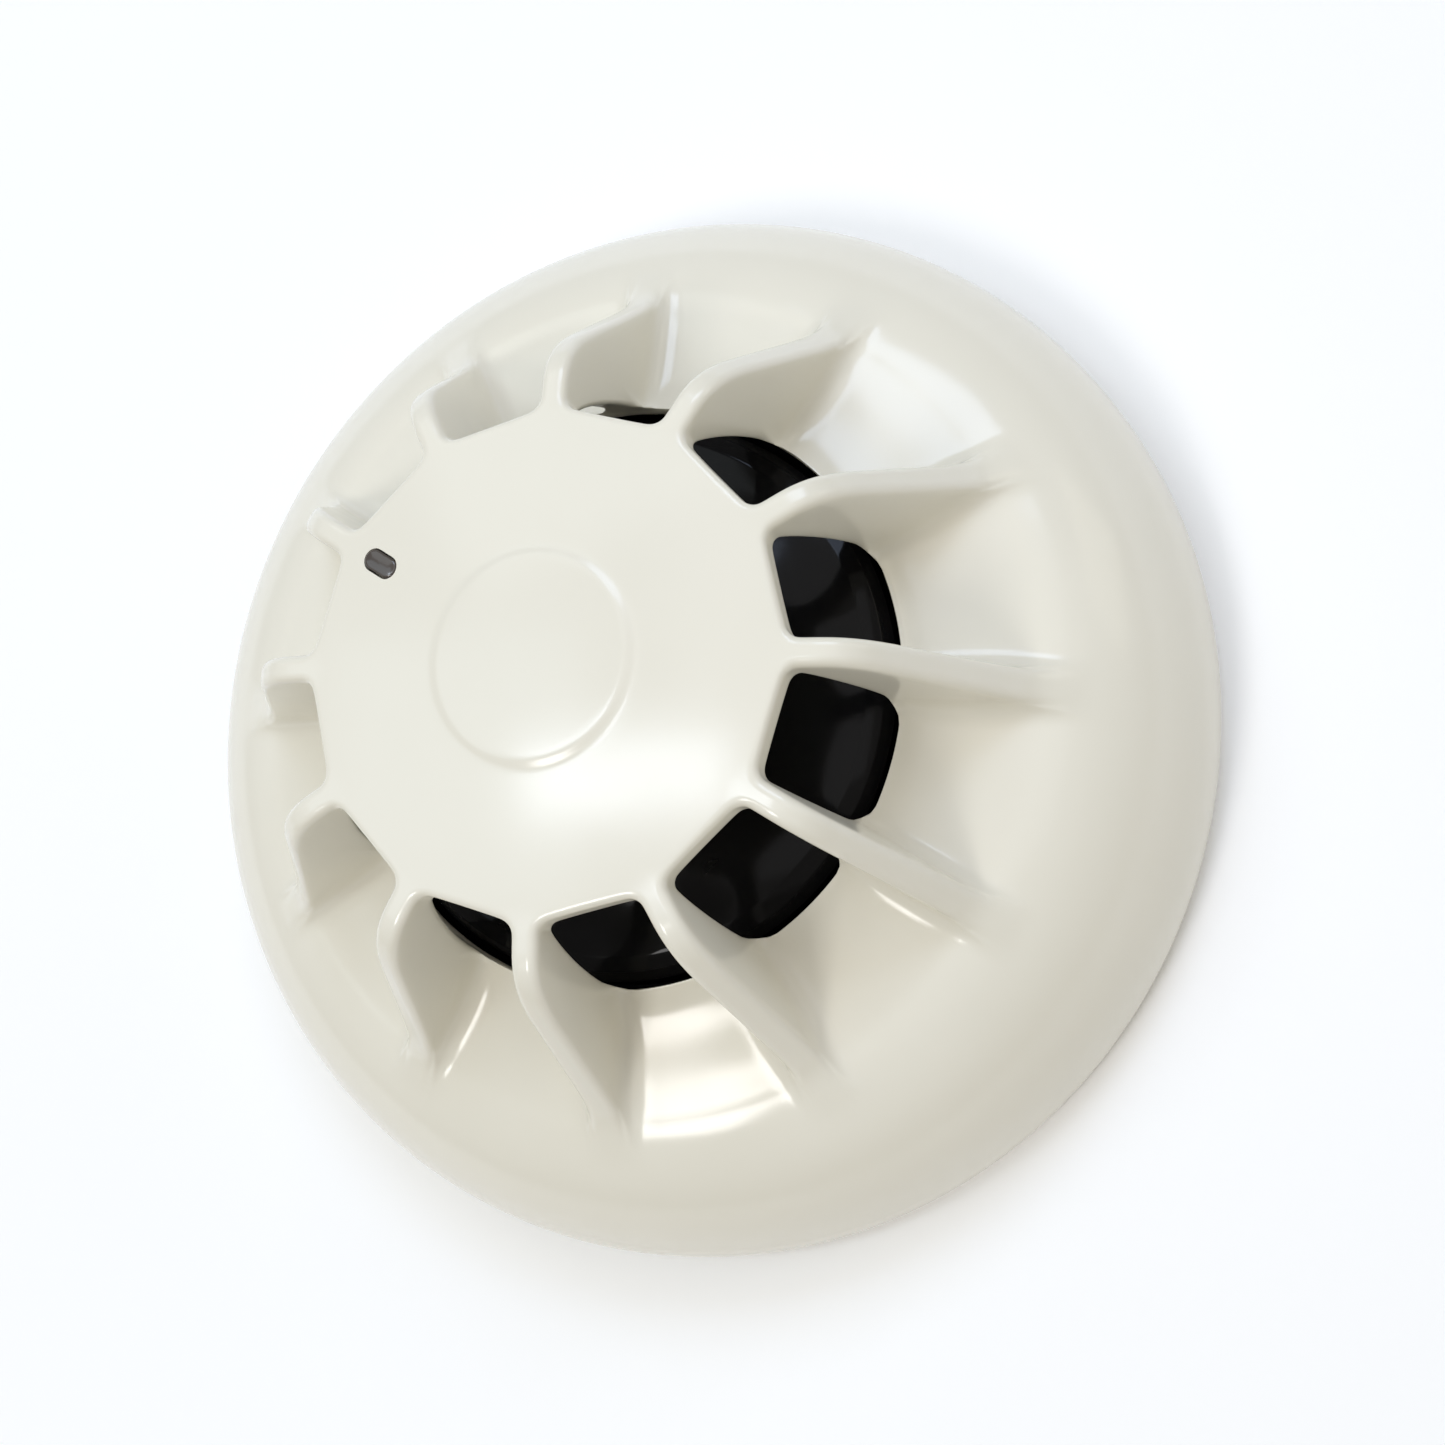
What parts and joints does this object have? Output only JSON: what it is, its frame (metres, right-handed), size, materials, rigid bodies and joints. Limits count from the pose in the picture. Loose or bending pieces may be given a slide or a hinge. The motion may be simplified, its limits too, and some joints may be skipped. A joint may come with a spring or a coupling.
{
  "type": "heat detector",
  "caption": "Round ceiling heat detector: a domed off-white head whose ribs carry a face disc over open sensing windows, twist-locked on a wiring base.",
  "frame": {"origin": "centre of the mounting base's back face, which lies on z = 0", "axes": "+Z runs out of the base along the twist axis towards the sensing face; +X passes through terminal 1 and the middle of a sensing window; +Y passes through terminal 2"},
  "size_m": [0.1, 0.1, 0.0391],
  "materials": {
    "cover_plastic": "glossy off-white moulded ABS",
    "base_plastic": "satin off-white moulded ABS",
    "plate_plastic": "satin off-white moulded ABS",
    "shield_plastic": "glossy black",
    "light_pipe_plastic": "smoked clear polycarbonate",
    "contact_brass": "spring brass",
    "screw_zinc": "zinc-plated steel",
    "board_resin": "green solder mask",
    "bead_epoxy": "black epoxy",
    "lead_tin": "tinned wire",
    "chip_epoxy": "black moulding compound",
    "capacitor_sleeve": "heat-shrink sleeve",
    "varistor_lacquer": "lacquered disc",
    "resistor_body": "coated film resistor",
    "film_capacitor_case": "moulded case",
    "led_lens": "red diffused",
    "seal_rubber": "matt black"
  },
  "bodies": {
    "base": {"mounting_base": "base_plastic", "contact_spring_1": "contact_brass", "contact_spring_2": "contact_brass", "contact_spring_3": "contact_brass", "contact_spring_4": "contact_brass"},
    "head": {"outer_cover": "cover_plastic", "inner_shield": "shield_plastic", "cover_seal": "seal_rubber", "light_pipe": "light_pipe_plastic", "status_led": "led_lens", "thermistor_bead": "bead_epoxy", "thermistor_lead_1": "lead_tin", "thermistor_lead_2": "lead_tin", "sensor_grommet": "seal_rubber", "circuit_board": "board_resin", "electrolytic_capacitor": "capacitor_sleeve", "control_ic": "chip_epoxy", "bridge_rectifier": "chip_epoxy", "film_capacitor": "film_capacitor_case", "transistor": "chip_epoxy", "surge_suppressor": "varistor_lacquer", "resistor_1": "resistor_body", "resistor_2": "resistor_body", "resistor_3": "resistor_body", "resistor_4": "resistor_body", "reference_thermistor": "bead_epoxy", "back_plate": "plate_plastic", "contact_blade_1": "contact_brass", "contact_blade_2": "contact_brass", "contact_blade_3": "contact_brass", "contact_blade_4": "contact_brass", "cover_screw_1": "screw_zinc", "cover_screw_2": "screw_zinc", "cover_screw_3": "screw_zinc", "board_screw_1": "screw_zinc", "board_screw_2": "screw_zinc"},
    "terminal_1": {"clamp_plate_1": "contact_brass", "terminal_screw_1": "screw_zinc"},
    "terminal_2": {"clamp_plate_2": "contact_brass", "terminal_screw_2": "screw_zinc"},
    "terminal_3": {"clamp_plate_3": "contact_brass", "terminal_screw_3": "screw_zinc"},
    "terminal_4": {"clamp_plate_4": "contact_brass", "terminal_screw_4": "screw_zinc"}
  },
  "joints": [
    {"name": "head_twist", "type": "hinge", "parent": "base", "child": "head", "pos_m": [0, 0, 0], "axis": [0, 0, 1], "range_deg": [0, 20]},
    {"name": "terminal_lift_1", "type": "slide", "parent": "base", "child": "terminal_1", "axis": [0, 0, 1], "range_m": [0, 0.0015]},
    {"name": "terminal_lift_2", "type": "slide", "parent": "base", "child": "terminal_2", "axis": [0, 0, 1], "range_m": [0, 0.0015]},
    {"name": "terminal_lift_3", "type": "slide", "parent": "base", "child": "terminal_3", "axis": [0, 0, 1], "range_m": [0, 0.0015]},
    {"name": "terminal_lift_4", "type": "slide", "parent": "base", "child": "terminal_4", "axis": [0, 0, 1], "range_m": [0, 0.0015]}
  ]
}
